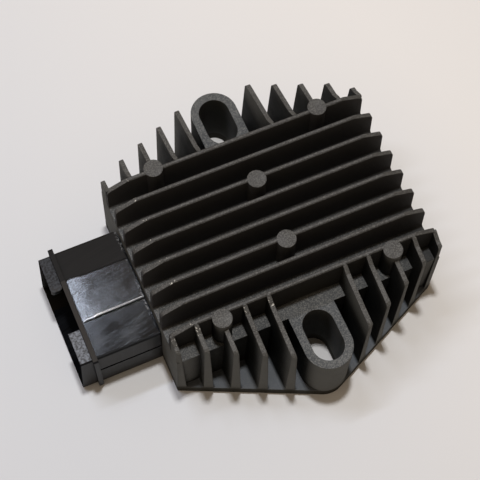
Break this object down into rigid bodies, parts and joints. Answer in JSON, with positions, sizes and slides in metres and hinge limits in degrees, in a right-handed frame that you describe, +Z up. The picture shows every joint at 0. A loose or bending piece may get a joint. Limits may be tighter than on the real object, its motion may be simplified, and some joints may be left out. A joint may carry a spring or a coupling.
{
  "type": "voltage regulator rectifier",
  "caption": "Finned black die-cast regulator rectifier with two slotted mounting bosses, a resin-filled underside and a moulded plug socket at one end.",
  "frame": {"origin": "middle of the two-slot pattern, on the mounting face", "axes": "+X along the long fins, away from the plug socket; +Y through the slots; +Z up out of the mounting face, towards the fin tops"},
  "size_m": [0.1061, 0.0936, 0.0346],
  "materials": {
    "casting_paint": "satin, fine orange peel over a die casting",
    "socket_plastic": "glossy moulded black",
    "terminal_brass": "tin over brass, satin",
    "copper": "plain copper, satin",
    "resin": "poured epoxy, slight sheen",
    "sheet_rubber": "matte silicone sheet",
    "substrate_metal": "insulated metal, satin",
    "device_plastic": "moulded epoxy",
    "board_laminate": "solder resist on laminate",
    "resistor_body": "lacquered",
    "diode_glass_body": "lacquered"
  },
  "bodies": {
    "root": {"heat_sink": "casting_paint", "connector_housing": "socket_plastic", "phase_terminal_a": "terminal_brass", "phase_terminal_b": "terminal_brass", "phase_terminal_c": "terminal_brass", "positive_terminal": "terminal_brass", "ground_terminal": "terminal_brass", "sense_terminal": "terminal_brass", "terminal_links": "copper", "potting_resin": "resin", "heat_sheet": "sheet_rubber", "power_substrate": "substrate_metal", "thyristor_a": "device_plastic", "thyristor_b": "device_plastic", "thyristor_c": "device_plastic", "diode_a": "device_plastic", "diode_b": "device_plastic", "diode_c": "device_plastic", "positive_busbar": "copper", "ground_busbar": "copper", "control_board": "board_laminate", "board_pins": "terminal_brass", "control_chip": "device_plastic", "filter_capacitor": "device_plastic", "gate_resistors": "resistor_body", "reference_diode": "diode_glass_body"}
  },
  "joints": []
}
